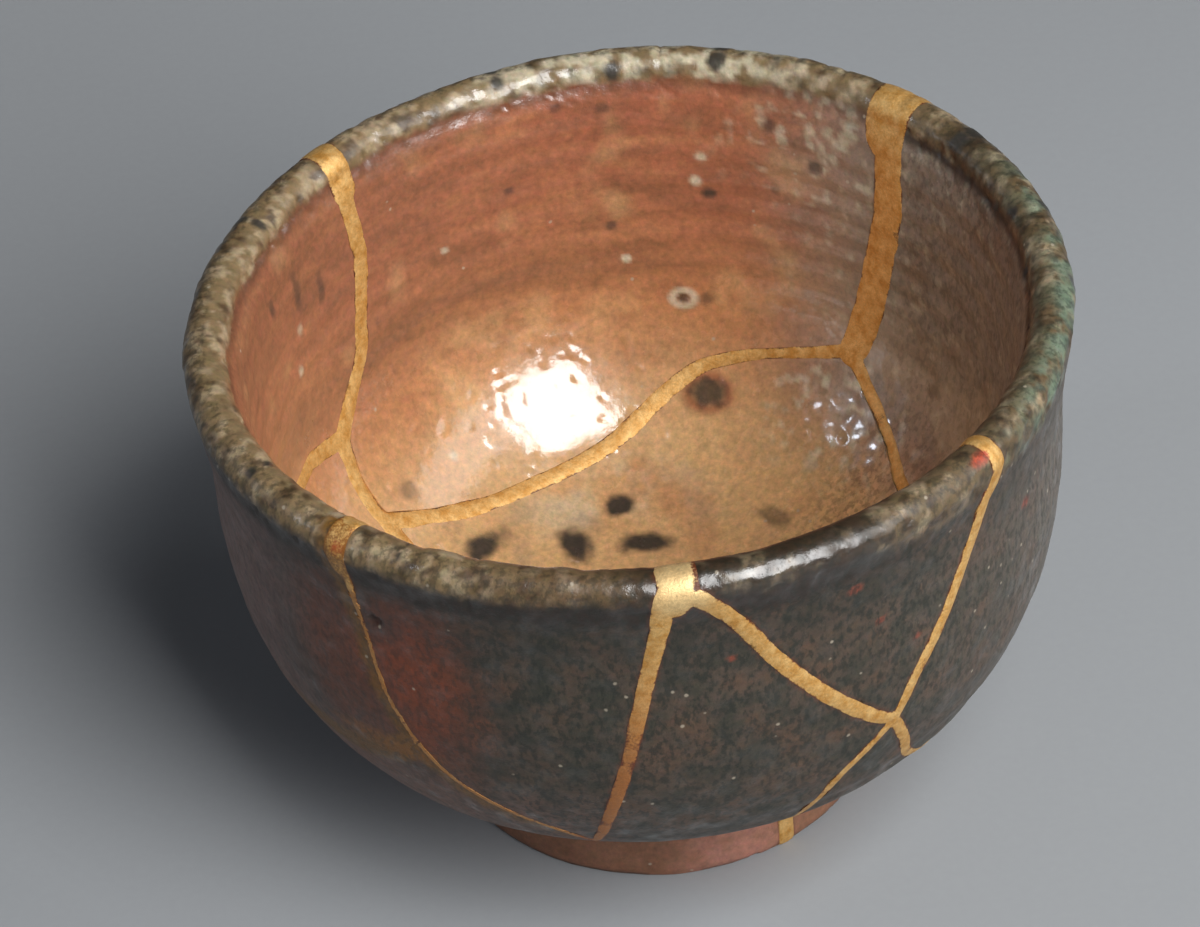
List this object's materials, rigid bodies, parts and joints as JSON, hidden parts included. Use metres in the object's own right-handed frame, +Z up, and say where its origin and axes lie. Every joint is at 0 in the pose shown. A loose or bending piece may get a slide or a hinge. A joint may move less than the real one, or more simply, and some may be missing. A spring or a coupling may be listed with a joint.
{
  "type": "kintsugi sake cup",
  "caption": "Small wide-mouthed stoneware drinking cup on a turned foot ring, broken into sherds and joined again by gold-dusted lacquer seams.",
  "frame": {"origin": "centre of the foot's underside, which is the middle of the cup's footprint at its lowest point", "axes": "+Z up along the cup's turning axis; -Y is the front, where two gold seams meet under the rim; +X is the cup's right as seen from the front"},
  "size_m": [0.0678, 0.0684, 0.0444],
  "materials": {
    "stoneware": "wood-fired stoneware with a satin natural ash glaze, grey-brown outside and orange-tan inside, unglazed at the foot",
    "gold_lacquer": "satin gold powder on lacquer, with reddish-brown lacquer showing at its edges"
  },
  "bodies": {
    "root": {"left_wall_sherd": "stoneware", "back_wall_sherd": "stoneware", "right_wall_sherd": "stoneware", "rim_triangle_sherd": "stoneware", "front_left_sherd": "stoneware", "front_and_base_sherd": "stoneware", "floor_sherd": "stoneware", "gold_lacquer_seams": "gold_lacquer"}
  },
  "joints": []
}
